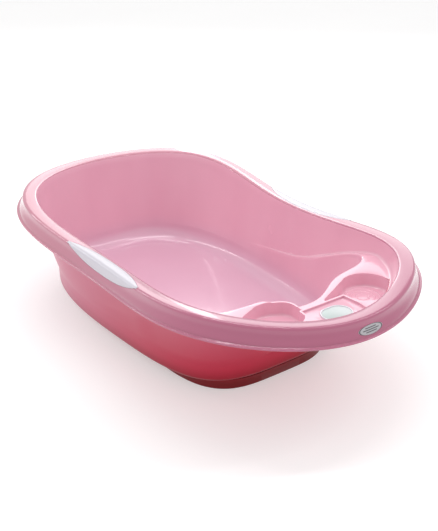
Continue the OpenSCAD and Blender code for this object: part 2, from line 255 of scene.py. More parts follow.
def laid_sheet(name, rings, finishes=(), starts=(0,)):
    rings = np.asarray(rings, float)
    rows, cols = rings.shape[:2]
    bpy.ops.object.select_all(action="DESELECT")
    bpy.ops.mesh.primitive_grid_add(x_subdivisions=cols, y_subdivisions=rows - 1)
    piece = bpy.context.object
    piece.name = name
    points = np.concatenate([rings, rings[:, :1]], axis=1) * mm
    piece.data.vertices.foreach_set("co", points.ravel())
    for finish_ in finishes:
        piece.data.materials.append(finish_)
    if len(starts) > 1:
        row_of_face = np.arange(len(piece.data.polygons)) // cols
        pick = np.searchsorted(starts, row_of_face, side="right") - 1
        piece.data.polygons.foreach_set("material_index", pick.astype("i"))
    bpy.ops.object.mode_set(mode="EDIT")
    bpy.ops.mesh.select_all(action="SELECT")
    bpy.ops.mesh.remove_doubles(threshold=0.001 * mm)
    bpy.ops.mesh.fill_holes(sides=0)
    bpy.ops.mesh.select_all(action="SELECT")
    bpy.ops.mesh.normals_make_consistent(inside=False)
    bpy.ops.object.mode_set(mode="OBJECT")
    return piece


def combine(piece, tool, operation):
    only(piece)
    bpy.ops.object.modifier_add(type="BOOLEAN")
    modifier = piece.modifiers[-1]
    modifier.operation = operation
    modifier.solver = "MANIFOLD"
    modifier.material_mode = "TRANSFER"
    modifier.object = tool
    bpy.ops.object.modifier_apply(modifier=modifier.name)
    bpy.data.objects.remove(tool)
    return piece


def outline(circles, grow, points=96):
    """The line round a set of circles, each [x, y, radius], moved out by grow."""
    a = np.linspace(0, 2 * math.pi, points, endpoint=False)
    u = np.stack([np.cos(a), np.sin(a)], -1)
    circles = np.asarray(circles, float)
    reach = u @ circles[:, :2].T + circles[:, 2]
    pick = circles[reach.argmax(1)]
    return pick[:, :2] + np.maximum(pick[:, 2] + grow, 0.6)[:, None] * u


def stack(circles, levels):
    """Rings of one outline at several levels, each [how far it is grown, height]."""
    return [with_z(outline(circles, grow), z) for grow, z in levels]


def arc(start, end, steps):
    return np.radians(np.linspace(start, end, steps))


# %% [markdown]
# ## Finishes
#
# A finish is a small tree of shader nodes. Written out node by node it is hard to read, so a class
# wraps a socket and lets the maths be written as sums: `1 - mask * 0.5` adds its own Math nodes.
# Any other node comes from one method that takes its type, its settings and its inputs.

# %% Shader helper


class Wire:
    """An output socket that can be used in sums."""

    def __init__(self, finish, socket):
        self.finish, self.socket = finish, socket

    def math(self, operation, *values):
        return self.finish.node("ShaderNodeMath", {"operation": operation}, dict(enumerate(values)))

    def __add__(self, other):
        return self.math("ADD", self, other)

    def __sub__(self, other):
        return self.math("SUBTRACT", self, other)

    def __rsub__(self, other):
        return self.math("SUBTRACT", other, self)

    def __mul__(self, other):
        return self.math("MULTIPLY", self, other)

    def __truediv__(self, other):
        return self.math("DIVIDE", self, other)

    def __pow__(self, other):
        return self.math("POWER", self, other)

    __radd__, __rmul__ = __add__, __mul__

    def clamped(self, low, high):
        """0 at low, 1 at high, smooth between."""
        return self.finish.node("ShaderNodeMapRange", {"interpolation_type": "SMOOTHSTEP"},
                                {"Value": self, "From Min": low, "From Max": high})


class Finish:
    """A material with one Principled shader and the nodes that feed it."""

    def __init__(self, name, **constants):
        self.material = bpy.data.materials.new(name)
        self.material.use_nodes = True
        self.tree = self.material.node_tree
        self.shader = self.tree.nodes["Principled BSDF"]
        for socket, value in constants.items():
            self.shader.inputs[socket.replace("_", " ")].default_value = value

    def node(self, kind, settings=None, inputs=None, output=0):
        made = self.tree.nodes.new(kind)
        for name, value in (settings or {}).items():
            setattr(made, name, value)
        for key, value in (inputs or {}).items():
            if isinstance(value, Wire):
                self.tree.links.new(value.socket, made.inputs[key])
            else:
                made.inputs[key].default_value = value
        return Wire(self, made.outputs[output])

    def place(self):
        """Object coordinates in metres, as three wires."""
        where = self.node("ShaderNodeTexCoord", output="Object")
        split = self.node("ShaderNodeSeparateXYZ", inputs={0: where})
        return where, [Wire(self, s) for s in split.socket.node.outputs]

    def noise(self, where, scale, detail=2.0):
        return self.node("ShaderNodeTexNoise", inputs={"Vector": where, "Scale": scale, "Detail": detail})

    def blend(self, share, first, second):
        return self.node("ShaderNodeMix", {"data_type": "RGBA"}, {0: share, 6: first, 7: second}, output=2)

    def bump(self, height, strength, distance):
        inputs = {"Height": height, "Strength": strength, "Distance": distance}
        return self.node("ShaderNodeBump", inputs=inputs)

    def feed(self, **wires):
        for socket, wire in wires.items():
            self.tree.links.new(wire.socket, self.shader.inputs[socket.replace("_", " ")])


def rgb(red, green, blue):
    """A colour as it is picked on a screen, turned into the linear values a shader needs."""
    linear = [c / 255 / 12.92 if c <= 10 else ((c / 255 + 0.055) / 1.055) ** 2.4 for c in (red, green, blue)]
    return (*linear, 1)


# %% [markdown]
# The plastic is dyed right through; the differences in its colour below are mostly painted light and
# shade. The inside is a clear pink, painted paler on the floor as a painted sheen. The rim is a deeper
# mauve base with painted shade that grows towards the foot, and has the strongest gloss because it is
# the part that is polished. The outside is painted a deeper red towards the foot and the ground as painted
# shade, nearly black-red on the base ring as a painted contact shadow. So the shell has three finishes, one
# for each run of its rings. A moulded gloss is never quite even: a faint waviness bends the reflections.

# %% Pink plastic


def gloss_and_wave(finish, where, low, high, wave):
    cloud = finish.noise(where, 9.0, 3.0)
    finish.feed(Roughness=cloud * (high - low) + low)
    wide = finish.noise(where, 14.0, 1.0)
    finish.feed(Normal=finish.bump(wide * wave, 0.25, 0.002))


def pink_inside():
    finish = Finish("pink_plastic", IOR=1.47, Coat_Weight=0.6, Coat_Roughness=0.07, Coat_IOR=1.5)
    where, (x, y, z) = finish.place()
    drawn_out = {"Vector": where, "Scale": (3.0, 3.0, 0.7)}
    streak = finish.noise(finish.node("ShaderNodeMapping", inputs=drawn_out), 4.0)
    pink = finish.blend(streak.clamped(0.3, 0.7), rgb(233, 177, 195), rgb(236, 182, 199))
    # Painted sheen: the floor and the foot of the wall are blended to a paler mauve-white for the bright
    # light they reflect.
    floor_painted_sheen = 1 - z.clamped(floor_z * mm, (floor_z + 60) * mm)
    finish.feed(Base_Color=finish.blend(floor_painted_sheen * 0.6, pink, rgb(214, 178, 200)))
    gloss_and_wave(finish, where, 0.2, 0.3, 1.0)
    return finish.material


def pink_rim():
    finish = Finish("pink_plastic_rim", IOR=1.5, Coat_Weight=1.0, Coat_Roughness=0.06, Coat_IOR=1.5)
    where, (x, y, z) = finish.place()
    # Painted shade: the rim's base colour is a darker mauve than the inside, and darker still towards the
    # foot, where its flank lies in shade.
    rim_shade_to_foot = x.clamped(-0.2, 0.42)
    finish.feed(Base_Color=finish.blend(rim_shade_to_foot, rgb(196, 126, 145), rgb(176, 90, 122)))
    gloss_and_wave(finish, where, 0.2, 0.28, 0.4)
    return finish.material


def pink_outside():
    finish = Finish("pink_plastic_outside", IOR=1.3, Coat_Weight=0.1, Coat_Roughness=0.2, Coat_IOR=1.4)
    where, (x, y, z) = finish.place()
    # Painted shade: the outside is painted a deeper red towards the foot and towards the ground.
    along = x.clamped(-0.30, 0.26)
    shade_near_ground = 1 - z.clamped(0.01, 0.16)
    painted_deep_shade = along * (0.55 + 0.45 * shade_near_ground)
    shaded_upper_wall = finish.blend(painted_deep_shade, rgb(205, 128, 150), rgb(186, 26, 56))
    # Painted contact shadow: the base ring is painted nearly black-red, more so towards the foot.
    painted_contact_shadow = (1 - z.clamped(0.008, 0.05)) * (0.35 + 0.65 * along)
    finish.feed(Base_Color=finish.blend(painted_contact_shadow, shaded_upper_wall, rgb(110, 0, 8)))
    gloss_and_wave(finish, where, 0.3, 0.42, 0.8)
    return finish.material


inside_pink, rim_pink, outside_pink = pink_inside(), pink_rim(), pink_outside()
print(inside_pink.name, rim_pink.name, outside_pink.name)

# %% [markdown]
# ## The shell
#
# The section of the rim is drawn once, from the lip bead over the shoulder and the crest to the
# inner edge. It is a run of short arcs: a round bead, a hollow flank, an oval shoulder and a flat
# roll down to the wall. The same drawing later carries the grips and the label, so that they follow
# the rim exactly.

# %% Rim section
crest_in, skirt_in, skirt_h = rim_w * 0.45, lip_w + 8, rim_h * 0.83


def bezier(points, t):
    points = [np.asarray(p, float) for p in points]
    while len(points) > 1:
        points = [mix(p[None] if p.ndim == 1 else p, q[None] if q.ndim == 1 else q, t[:, None])
                  for p, q in zip(points, points[1:])]
    return points[0]


def quarter(start, end, steps):
    t = arc(0, 90, steps)
    return np.stack([mix(start[0], end[0], 1 - np.cos(t)), mix(start[1], end[1], np.sin(t))], -1)


def crest_roll(start, end, steps):
    t = arc(0, 90, steps)
    return np.stack([mix(start[0], end[0], np.sin(t)), mix(start[1], end[1], 1 - np.cos(t))], -1)


bead = lip_t / 2
bead_turn = arc(-90, -270, 9)
lip_bead = np.stack([bead + bead * np.cos(bead_turn), bead + bead * np.sin(bead_turn)], -1)
flank = bezier([(lip_w, lip_t + 0.4), (lip_w + 1.4, 9), (skirt_in - 0.2, 16), (skirt_in, skirt_h)],
               np.linspace(0, 1, 9))
shoulder = quarter((skirt_in, skirt_h), (crest_in, rim_h), 8)
roll = crest_roll((crest_in, rim_h), (rim_w, rim_h - inner_drop), 12)
face = np.concatenate([flank[:-1], shoulder[:-1], roll])
section = np.concatenate([lip_bead, [[lip_w - 0.8, lip_t + 0.05]], face])
under = np.concatenate([
    [(lip_w + wall, 0), (lip_w + wall + 0.6, 5), (skirt_in + wall - 1.4, skirt_h * 0.62)],
    quarter((skirt_in + wall, skirt_h - 2), (crest_in, rim_h - wall), 5),
    [(rim_w - 8, rim_h - inner_drop - wall + 1), (rim_w - 2.6, rim_h - inner_drop - wall - 0.6)]])
print(len(section), "points over the rim,", len(under), "under it")

# %% [markdown]
# The skin starts in the middle of the floor, climbs the wall, rounds the deck's edge, crosses the
# deck, goes up to the rim and over it, and comes back down outside, one wall thickness away. At the
# bottom a low ring stands on the ground.

# %% Rings of the shell


def low_wall(k):
    b = edge - [0, 0, edge_r + 1.4]
    z = mix(b[:, 2], wall_foot_z, k)
    g = ((b[:, 2] - z) / (b[:, 2] - wall_foot_z))[:, None]
    straight = mix(b[:, :2], floor_pt(turn, 0), g)
    slip = (edge - shelf_back)[:, :2] * (1 - g)
    w = ease((shelf_w - 3) / 20)[:, None]
    return with_z(mix(wall_pt(z)[:, :2] + slip, straight, w), z)


def fillet(t):
    return with_z(floor_pt(turn, -floor_r * (1 - math.cos(t))), wall_foot_z - floor_r * math.sin(t))


inner_edge = mix(edge, shelf_back, np.minimum(0.5, edge_r / np.maximum(shelf_w, 0.1))[:, None])
corner_r = np.minimum(4, 0.45 * shelf_w)[:, None]
corner_in = shelf_back + unit(edge - shelf_back + [1e-6, 0, 0]) * corner_r
corner_up = wall_pt(shelf_z + np.maximum(corner_r[:, 0], 0.3))


def round_over(start, middle, end, shares):
    return [start * (1 - t) ** 2 + middle * 2 * t * (1 - t) + end * t * t for t in shares]


def up_wall(k):
    return wall_pt(mix(corner_up[:, 2], wall_top[:, 2], k))


inside = [with_z(fillet(math.pi / 2)[:, :2] * k, floor_z) for k in (0.3, 0.6, 0.8, 0.92)]
inside += [fillet(t) for t in arc(90, 0, 10)]
inside += [low_wall(k) for k in (0.94, 0.86, 0.75, 0.62, 0.5, 0.37, 0.25, 0.12, 0.04)]
inside += round_over(low_wall(0), edge, inner_edge, (0, 0.12, 0.25, 0.38, 0.5, 0.62, 0.75, 0.88, 1))
inside += [mix(inner_edge, corner_in, k) for k in (0.5, 1)]
inside += round_over(corner_in, shelf_back, corner_up, (0.25, 0.5, 0.75, 1))
inside += [up_wall(k) for k in (0.06, 0.15, 0.27, 0.4, 0.53, 0.66, 0.78, 0.9)]
rim = [rim_pt(turn, np.full(around, i), h) for i, h in section[::-1]]
below = [rim_pt(turn, np.full(around, i), h) for i, h in under]

# %% [markdown]
# For the outside, a coarser stack of the same wall is moved out by the wall thickness along its own
# normals. Where the ledge is only a few millimetres wide the rows are evened out, because a thick
# skin rounds such a small step off.

# %% Outside and base
coarse = [up_wall(k) for k in (0.96, 0.85, 0.7, 0.55, 0.4, 0.25, 0.12)]
coarse += [corner_up, mix(shelf_back, inner_edge, 0.3), mix(shelf_back, inner_edge, 0.75)]
coarse += [(low_wall(0) + 2 * edge + inner_edge) / 4, low_wall(0.08)]
coarse += [low_wall(k) for k in (0.2, 0.33, 0.46, 0.6, 0.75, 0.9, 1)]
coarse = np.array(coarse)
down = np.gradient(coarse, axis=0)
across = np.roll(coarse, -1, axis=1) - np.roll(coarse, 1, axis=1)
moved = coarse + wall * unit(np.cross(down, across))
even = moved.copy()
for _ in range(6):
    even[1:-1] = (even[:-2] + 2 * even[1:-1] + even[2:]) / 4
outside = list(mix(even, moved, ease((shelf_w - 5) / 25)[None, :, None]))
bottom = [with_z(floor_pt(turn, wall), z) for z in (wall_foot_z - 10, base_h + outer_r + 8)]
bottom += [with_z(floor_pt(turn, wall - outer_r * (1 - math.cos(t))),
                  base_h + outer_r - outer_r * math.sin(t)) for t in arc(0, 90, 8)]
ring_draft, ring_wall = 1.5, 4
foot_of_ring = [(2, base_h), (0.4, base_h - 0.5), (0, base_h - 2), (-ring_draft, 1), (-ring_draft - 0.6, 0.2),
                (-ring_draft - 1.1, 0), (0.9 - ring_draft - ring_wall, 0), (-ring_draft - ring_wall, 1),
                (-ring_wall, base_h)]
bottom += [with_z(base_pt(turn, grow), z) for grow, z in foot_of_ring]
bottom += [with_z(base_pt(turn, 0) / 2, base_h)]

rings = inside + rim + below + outside + bottom
shell = laid_sheet("shell", rings, (inside_pink, rim_pink, outside_pink),
                   (0, len(inside), len(inside) + len(rim)))
print(len(rings), "rings,", len(shell.data.polygons), "faces")

# %% [markdown]
# ## Deck, recesses and pockets
#
# The deck is flat, so its many small faces are first dissolved into one. Each soap recess is the
# shape that wraps a few circles, with drafted walls and a rounded foot, so that it comes off its
# mould. Below the deck the same shape, one wall bigger, becomes the boss that holds it. Each shape is
# cut off just inside the tub's wall, because a pocket that reached the wall would let water out.

# %% Flatten the deck into one face


def choose_faces(piece, test):
    """Selects, in edit mode, the faces whose centre and normal pass the test."""
    only(piece)
    bpy.ops.object.mode_set(mode="EDIT")
    bpy.ops.mesh.select_mode(type="FACE")
    bpy.ops.mesh.select_all(action="DESELECT")
    bpy.ops.object.mode_set(mode="OBJECT")
    for face_ in piece.data.polygons:
        face_.select = bool(test(face_.center / mm, face_.normal))
    bpy.ops.object.mode_set(mode="EDIT")


choose_faces(shell, lambda c, n: abs(c.z - deck_z) < 0.02 and n.z > 0.9999)
bpy.ops.mesh.dissolve_faces()
bpy.ops.object.mode_set(mode="OBJECT")
print(len(shell.data.polygons), "faces after the deck is one")

# %% Recess shapes
recess_x, recess_y, recess_r, recess_depth = half_l - 112, 98, 42, 22
recess_z = deck_z - recess_depth
platform_x = badge_low[0] - 9
platform_half_w = badge_half_w + 15
platform_gap, wall_gap = 4, 3
draft, foot_r, above = 2.5, 5, 24
platform = [[platform_x, -platform_half_w, 0], [platform_x, platform_half_w, 0],
            [badge_x, platform_half_w + 3, 0], [badge_x, -platform_half_w - 3, 0],
            [badge_high[0] + 1, platform_half_w, 0], [badge_high[0] + 1, -platform_half_w, 0]]
left_recess = [[recess_x, recess_y, recess_r], [platform_x - 5, 13, 5],
               [recess_x + 22, recess_y - 18, recess_r - 20]]
right_recess = [[recess_x - 9, 18 - recess_y, recess_r - 1], [recess_x - 2, -7 - recess_y, recess_r - 4],
                [recess_x - 20, 38 - recess_y, recess_r - 20]]


def pocket_levels(grow, floor, top, sign):
    """Drafted wall with a rounded foot. The sign is 1 for the pocket and -1 for the land beside it."""
    foot = [(-draft - foot_r * (1 - math.sin(t)), floor + foot_r * (1 - math.cos(t))) for t in arc(0, 90, 7)]
    levels = foot + [(-draft / 2, mix(floor, deck_z, 0.55)), (0, min(deck_z, top)),
                     (draft / 4, max(deck_z + 1, top))]
    levels = levels if top > deck_z else levels[:-1]
    return [(grow + sign * g, z) for g, z in levels]


def recess_body(name, circles, grow, floor, top):
    finishes = (inside_pink,) if grow == 0 else (outside_pink,)
    body = laid_sheet(name, stack(circles, pocket_levels(grow, floor, top, 1)), finishes)
    land_levels = pocket_levels(platform_gap - grow, floor, top, -1)
    land_levels = [(land_levels[0][0], floor - 5)] + land_levels + [(land_levels[-1][0], top + 5)]
    land = laid_sheet("land", stack(platform, land_levels), finishes)
    combine(body, land, "DIFFERENCE")
    wall_levels = pocket_levels(grow - wall_gap, floor, top, 1)
    wall_levels = [(wall_levels[0][0], floor - 5)] + wall_levels + [(wall_levels[-1][0], top + 5)]
    inner_wall = wall_pt(np.full(around, deck_z))[:, :2]
    limit = [with_z(inner_wall + g * outward(turn), z) for g, z in wall_levels]
    return combine(body, laid_sheet("limit", limit, finishes), "INTERSECT")


for circles in (left_recess, right_recess):
    boss = recess_body("boss", circles, wall, recess_z - wall, deck_z - 1)
    combine(shell, boss, "UNION")
badge_sink = platform_z - badge_low[2]
under_platform = stack(platform, [(wall - 2, platform_z - badge_sink - wall), (wall, platform_z - badge_sink),
                                  (wall, deck_z - 1)])
combine(shell, laid_sheet("platform_boss", under_platform, (outside_pink,)), "UNION")
for circles in (left_recess, right_recess):
    combine(shell, recess_body("pocket", circles, 0, recess_z, deck_z + above), "DIFFERENCE")

# A boss can show through the deck's front wall. What shows in the basin is given the inside finish.
basin_side = np.array([low_wall(k) for k in np.linspace(0, 1, 40)]).reshape(-1, 3)
boss_x, skin_clear = 200, 0.05
turned_pink = 0
for face_ in shell.data.polygons:
    c = np.array(face_.center) / mm
    if face_.material_index == 0 or not (c[0] > boss_x and recess_z - 9 < c[2] < deck_z):
        continue
    nearest = basin_side[((basin_side - c) ** 2).sum(1).argmin()]
    if np.hypot(c[0] - deck_cx, c[1]) < np.hypot(nearest[0] - deck_cx, nearest[1]) - skin_clear:
        face_.material_index = 0
        turned_pink += 1
print(turned_pink, "faces of the bosses show in the basin")
print("recesses", recess_depth, "mm deep,", len(shell.data.polygons), "faces")

# %% [markdown]
# The platform for the badge is a shallow step. Round the badge is one more faint step, and the badge
# itself drops into a pocket. The drain goes right through the floor.

# %% Platform, badge pocket and drain
fit_gap = 0.3
span = badge_half_w - badge_half_l
badge_circles = [[badge_x, -span, badge_half_l], [badge_x, span, badge_half_l]]
combine(shell, laid_sheet("step", stack(platform, [(-0.5, platform_z), (0, deck_z), (0.5, deck_z + above)]),
                          (inside_pink,)), "DIFFERENCE")
halo = [(3.2, platform_z - 0.5), (4.2, platform_z), (4.6, platform_z + above)]
combine(shell, laid_sheet("halo", stack(badge_circles, halo), (inside_pink,)), "DIFFERENCE")
pocket = [(fit_gap, platform_z - badge_sink), (fit_gap, platform_z + above)]
combine(shell, laid_sheet("pocket", stack(badge_circles, pocket), (inside_pink,)), "DIFFERENCE")
drain_r = 14
drain = [[drain_x, 0, drain_r]]
hole = [(0, base_h - 9), (0, floor_z + 9)]
combine(shell, laid_sheet("drain", stack(drain, hole), (inside_pink,)), "DIFFERENCE")
print("drain", 2 * drain_r, "mm across at x =", round(drain_x))

# %% [markdown]
# The top edges of the recesses and of the step are softened with a bevel. The edges are picked by
# place: they lie at deck height, between the flat deck and a steep wall below it.

# %% Soften the top edges


def soften(piece, height, width, segments):
    only(piece)
    mesh = piece.data
    faces_of_edge = {}
    for face_ in mesh.polygons:
        for key in face_.edge_keys:
            faces_of_edge.setdefault(key, []).append(face_)
    picked = []
    for edge_ in mesh.edges:
        ends_ = [mesh.vertices[v].co / mm for v in edge_.vertices]
        pair = faces_of_edge[edge_.key]
        flat = max(f.normal.z for f in pair)
        steep = min(abs(f.normal.z) for f in pair)
        level = all(abs(p.z - height) < 0.02 for p in ends_)
        if level and flat > 0.999 and steep < 0.6 and min(p.x for p in ends_) > deck_front_x + 5:
            picked.append(edge_.index)
    bpy.ops.object.mode_set(mode="EDIT")
    bpy.ops.mesh.select_mode(type="EDGE")
    bpy.ops.mesh.select_all(action="DESELECT")
    bpy.ops.object.mode_set(mode="OBJECT")
    for index in picked:
        mesh.edges[index].select = True
    bpy.ops.object.mode_set(mode="EDIT")
    bpy.ops.mesh.bevel(offset=width * mm, segments=segments, clamp_overlap=True)
    bpy.ops.object.mode_set(mode="OBJECT")
    return len(picked)


print(soften(shell, deck_z, 1.3, 3), "edges softened")

# %% [markdown]
# Low rings on the floor of each recess keep the soap out of its puddle. A ring is a torus sunk so
# deep that only its top shows.

# %% Soap rings
ring_r, ring_step, ring_h, ring_bar = 28, 9, 0.9, 2.2
for way in (-1, 1):
    for r in range(ring_r, 7, -ring_step):
        bpy.ops.object.select_all(action="DESELECT")
        bpy.ops.mesh.primitive_torus_add(
            major_segments=72, minor_segments=12, major_radius=r * mm, minor_radius=ring_bar * mm,
            location=((recess_x - 5) * mm, way * (recess_y - 4) * mm, (recess_z + ring_h - ring_bar) * mm))
        bpy.context.object.data.materials.append(inside_pink)
        combine(shell, bpy.context.object, "UNION")
print("three soap rings in each recess")

# %% [markdown]
# ## Grips
#
# Each grip is a lens of white plastic that wraps over the rim. Its rings run across the rim and
# follow the rim's own section, a little proud in the middle. The pocket in the shell is the same
# body, grown by a small gap.

# %% Place on the rim's face
run = np.concatenate([[0], np.cumsum(np.linalg.norm(np.diff(face, axis=0), axis=1))])
fine = np.linspace(0, run[-1], 400)
fine_face = np.stack([np.interp(fine, run, face[:, 0]), np.interp(fine, run, face[:, 1])], -1)
slope = unit(np.gradient(fine_face, axis=0))
face_normal = np.stack([-slope[:, 1], slope[:, 0]], -1)


def on_face(a, along_face, off):
    """Points at a distance along the rim's face, lifted off it."""
    i, h, n_i, n_h = (np.interp(along_face, fine, column) for column in (*fine_face.T, *face_normal.T))
    return rim_pt(np.full(len(along_face), a), i + off * n_i, h + off * n_h)


def face_run(inward):
    return np.interp(inward, fine_face[:, 0], fine)


grip_low, grip_high = frame_box("left_grip")
grip_x = (grip_low[0] + grip_high[0]) / 2
grip_l = grip_high[0] - grip_low[0]
grip_line, grip_in, grip_out, grip_t, grip_gap = 16, 17, 6.5, 1.6, 0.4
grip_mid, grip_edge_out, grip_edge_in = (face_run(grip_line + i) for i in (0, -grip_out, grip_in))


def lens_body(name, way, grow, low, high, crown, finishes=(), rows=44, cols=14):
    rings_ = []
    for k in -np.cos(np.linspace(0, math.pi, rows)):
        a = way * math.acos((grip_x + k * (grip_l / 2 + grow)) / half_l)
        w = max(0.1, (1 - abs(k) ** 2.5)) ** 0.8
        start, end = mix(grip_mid, grip_edge_out, w) - grow, mix(grip_mid, grip_edge_in, w) + grow
        t = np.linspace(-1, 1, cols)
        top = high + crown * w * (1 - t * t) - 0.45 * (grow == 0) * np.abs(t) ** 9
        places = mix(start, end, (t + 1) / 2)
        rings_.append(np.concatenate([on_face(a, places, top), on_face(a, places[::-1], np.full(cols, low))]))
    return laid_sheet(name, rings_, finishes)


grips = {}
for name, way in (("left_grip", 1), ("right_grip", -1)):
    combine(shell, lens_body("grip_pocket", way, grip_gap, -grip_t, 5, 0, (inside_pink,)), "DIFFERENCE")
    grips[name] = lens_body(name + "_moulded", way, 0, -grip_t + 0.05, 0.35, 0.7)
    print(name, len(grips[name].data.polygons), "faces")

# %% [markdown]
# The label is an oval sticker, a fraction of a millimetre thick, on the hollow flank of the rim at
# the foot end. It is made on the same face, with its own shallow seat.

# %% Rim label
label_low, label_high = frame_box("rim_label")
label_w = label_high[1] - label_low[1]
label_mid, label_half = 11.5, 7
lip_speed = abs(wave1 + 2 * wave2 + 3 * wave3 - 5 * fill)


def label_body(name, grow, low, high, finishes=(), rows=40, cols=9):
    rings_ = []
    middle = np.interp(label_mid, fine_face[:, 1][: len(fine) // 3], fine[: len(fine) // 3])
    for k in -np.cos(np.linspace(0, math.pi, rows)):
        a = k * (label_w / 2 + grow) / lip_speed
        w = max(0.12, math.sqrt(1 - k * k)) * (label_half + grow)
        places = middle + w * np.linspace(-1, 1, cols)
        rings_.append(np.concatenate([on_face(a, places, np.full(cols, high)),
                                      on_face(a, places[::-1], np.full(cols, low))]))
    return laid_sheet(name, rings_, finishes)


combine(shell, label_body("label_seat", fit_gap, -0.3, 4, (inside_pink,)), "DIFFERENCE")
label = label_body("oval_label", 0, -0.3, 0.15)
print("label", round(label_w), "by", 2 * label_half, "mm")

# %% [markdown]
# ## Badge
#
# The badge is an oval ring with a round bead, and a thin film with a slightly domed face lies in it.

# %% Badge and film
bead_w = 3
badge_top = badge_high[2]
bead_rise = badge_top - platform_z
levels = [(-0.2, badge_low[2]), (0, badge_low[2] + 0.3), (0, platform_z)]
levels += [(-bead_w / 2 * (1 - math.cos(t)), platform_z + bead_rise * math.sin(t)) for t in arc(15, 90, 6)]
levels += [(-bead_w / 2 * (1 + math.cos(t)), platform_z + bead_rise * math.sin(t)) for t in arc(75, 0, 6)]
badge = laid_sheet("badge_ring", stack(badge_circles, levels))
film_z = platform_z + 0.06
film_edge = -bead_w - fit_gap
levels = [(film_edge, film_z), (film_edge, film_high[2] - 0.1), (film_edge - 0.3, film_high[2])]
film = laid_sheet("badge_face", stack(badge_circles, levels))
print("badge", round(2 * badge_half_w), "by", round(2 * badge_half_l), "mm")

# %% [markdown]
# ## Plug
#
# The plug has a shank through the floor, a dished flange and a finger tab with a hole. The body is
# turned from rings, and the tab is an upright disc on a foot, cut and bevelled. A dark rubber washer
# lies under the flange.

# %% Plug and washer
shank_r = drain_r - 0.3
flange_r = plug_high[0] - drain_x
flange_low = seal_high[2]
flange_t = 3
flange_top, flange_round = flange_low + flange_t, 1.6
levels = [(shank_r - 1, plug_low[2]), (shank_r, plug_low[2] + 1), (shank_r, flange_low),
          (flange_r - 0.6, flange_low), (flange_r, flange_low + 0.6)]
levels += [(flange_r - flange_round * (1 - math.cos(t)), flange_top - flange_round * (1 - math.sin(t)))
           for t in arc(0, 90, 6)]
dish = 0.8
levels += [(flange_r - 5, flange_top), (flange_r - 6.5, flange_top - dish), (6, flange_top - dish)]
point = [[drain_x, 0, 0]]
plug = laid_sheet("plug_body", stack(point, levels))
tab_w, tab_t = 16, 4
tab_top = plug_high[2]
tab_r = tab_w / 2
tab_mid = tab_top - tab_r
bpy.ops.object.select_all(action="DESELECT")
bpy.ops.mesh.primitive_cylinder_add(vertices=64, radius=tab_r * mm, depth=tab_t * mm,
                                    location=(drain_x * mm, 0, tab_mid * mm), rotation=(math.pi / 2, 0, 0))
tab = bpy.context.object
bpy.ops.object.transform_apply(location=True, rotation=True, scale=True)
bpy.ops.object.select_all(action="DESELECT")
tab_foot = tab_mid - flange_low - 1
bpy.ops.mesh.primitive_cube_add(size=1, location=(drain_x * mm, 0, (tab_mid - tab_foot / 2) * mm),
                                scale=(tab_w * mm, tab_t * mm, tab_foot * mm))
foot = bpy.context.object
bpy.ops.object.transform_apply(location=True, rotation=True, scale=True)
combine(tab, foot, "UNION")
bpy.ops.object.select_all(action="DESELECT")
bpy.ops.mesh.primitive_cylinder_add(vertices=48, radius=(tab_r - 3.5) * mm, depth=3 * tab_t * mm,
                                    location=(drain_x * mm, 0, tab_mid * mm), rotation=(math.pi / 2, 0, 0))
combine(tab, bpy.context.object, "DIFFERENCE")
bpy.ops.object.modifier_add(type="BEVEL")
tab.modifiers[-1].width = 0.7 * mm
tab.modifiers[-1].segments = 3
bpy.ops.object.modifier_apply(modifier=tab.modifiers[-1].name)
combine(plug, tab, "UNION")

seal_r = seal_high[0] - drain_x
middle_z = (seal_low[2] + seal_high[2]) / 2
half_t = (seal_high[2] - seal_low[2]) / 2
levels = [(seal_r - 0.4 + 0.4 * math.cos(t), middle_z + half_t * math.sin(t)) for t in arc(-90, 90, 7)]
levels += [(shank_r + 0.05, seal_high[2]), (shank_r + 0.05, seal_low[2]), levels[0]]
washer = laid_sheet("rubber_washer", stack(point, levels))
print("plug", round(2 * flange_r), "mm across")

# %% [markdown]
# The small parts: glossy white grips with a very fine slip-resistant grain, a bright white badge ring
# with a pale grey-green film that carries painted light, paler towards the far side, a silver label with
# a border and three blank bars, a white plug and a black rubber washer.

# %% Small finishes


def white_plastic(name, colour, grain_scale, grain, coat=0.5):
    finish = Finish(name, IOR=1.45, Coat_Weight=coat, Coat_Roughness=0.08, Coat_IOR=1.5)
    where, _ = finish.place()
    cloud = finish.noise(where, 30.0)
    finish.feed(Base_Color=finish.blend(cloud, colour, tuple(c * 0.97 for c in colour[:3]) + (1,)))
    finish.feed(Roughness=cloud * 0.1 + 0.18)
    finish.feed(Normal=finish.bump(finish.noise(where, grain_scale), grain, 0.0004))
    return finish.material


def badge_film():
    finish = Finish("pale_film", IOR=1.45)
    where, (x, y, z) = finish.place()
    cloud = finish.noise(where, 60.0)
    # Painted light: the film is painted paler towards the far side (+y).
    far_side_painted_light = y.clamped(-badge_half_w * mm, badge_half_w * mm)
    finish.feed(Base_Color=finish.blend(far_side_painted_light, rgb(184, 198, 195), rgb(208, 214, 215)))
    finish.feed(Roughness=cloud * 0.15 + 0.25)
    return finish.material


